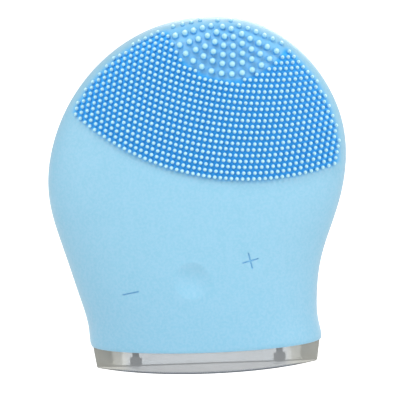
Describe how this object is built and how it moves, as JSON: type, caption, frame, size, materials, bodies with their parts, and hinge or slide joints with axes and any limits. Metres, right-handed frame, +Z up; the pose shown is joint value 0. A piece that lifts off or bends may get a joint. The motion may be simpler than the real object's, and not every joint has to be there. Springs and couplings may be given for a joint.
{
  "type": "facial cleansing brush",
  "caption": "Palm-size facial cleansing brush: soft pebble-shaped skin with bristle fields and three press buttons over a sealed vibrating body, on a clear foot.",
  "frame": {"origin": "centre of the clear foot's underside", "axes": "+Z up to the crown, -Y towards the bristles and buttons, +X to the right seen from the front"},
  "size_m": [0.0804, 0.0324, 0.0939],
  "materials": {
    "silicone": "soft satin silicone",
    "shell_plastic": "fine moulded grain",
    "seal_rubber": "soft matte",
    "screw_steel": "bright turned",
    "clear_plastic": "clear gloss",
    "plunger_plastic": "matte",
    "switch_plastic": "matte",
    "switch_metal": "pressed",
    "board_laminate": "solder mask",
    "led_lens": "clear lens",
    "chip_plastic": "moulded",
    "cell_foil": "foil pouch",
    "motor_steel": "drawn",
    "rotor_copper": "enamelled copper",
    "weight_brass": "sintered",
    "lead_red": "insulation",
    "lead_blue": "insulation"
  },
  "bodies": {
    "handle": {"silicone_skin": "silicone", "fine_bristle_field": "silicone", "coarse_bristle_field": "silicone", "rear_bristle_field": "silicone", "front_shell": "shell_plastic", "rear_shell": "shell_plastic", "shell_gasket": "seal_rubber", "motor_sleeve": "seal_rubber", "jack_seal": "seal_rubber", "shell_screws": "screw_steel", "foot_screws": "screw_steel", "board_screws": "screw_steel", "clear_foot": "clear_plastic", "tact_switches": "switch_metal", "circuit_board": "board_laminate", "status_leds": "led_lens", "control_chip": "chip_plastic", "battery_cell": "cell_foil", "battery_bracket": "plunger_plastic", "motor_can": "motor_steel", "motor_end_cap": "chip_plastic", "charge_jack": "chip_plastic", "battery_leads": "lead_red", "motor_leads": "lead_blue"},
    "minus_button": {"minus_button_pad": "silicone", "minus_plunger": "plunger_plastic", "minus_switch_actuator": "switch_plastic"},
    "power_button": {"power_button_pad": "silicone", "power_plunger": "plunger_plastic", "power_switch_actuator": "switch_plastic"},
    "plus_button": {"plus_button_pad": "silicone", "plus_plunger": "plunger_plastic", "plus_switch_actuator": "switch_plastic"},
    "motor_rotor": {"motor_shaft": "screw_steel", "motor_rotor": "rotor_copper", "eccentric_weight": "weight_brass"}
  },
  "joints": [
    {"name": "minus_press", "type": "slide", "parent": "handle", "child": "minus_button", "axis": [0, 1, 0], "range_m": [0, 0.0004], "stiffness_N_per_m": 3000},
    {"name": "power_press", "type": "slide", "parent": "handle", "child": "power_button", "axis": [0, 1, 0], "range_m": [0, 0.0004], "stiffness_N_per_m": 3000},
    {"name": "plus_press", "type": "slide", "parent": "handle", "child": "plus_button", "axis": [0, 1, 0], "range_m": [0, 0.0004], "stiffness_N_per_m": 3000},
    {"name": "motor_spin", "type": "hinge", "parent": "handle", "child": "motor_rotor", "pos_m": [-0.001, 0, 0.064], "axis": [0, 0, 1], "continuous": true}
  ]
}
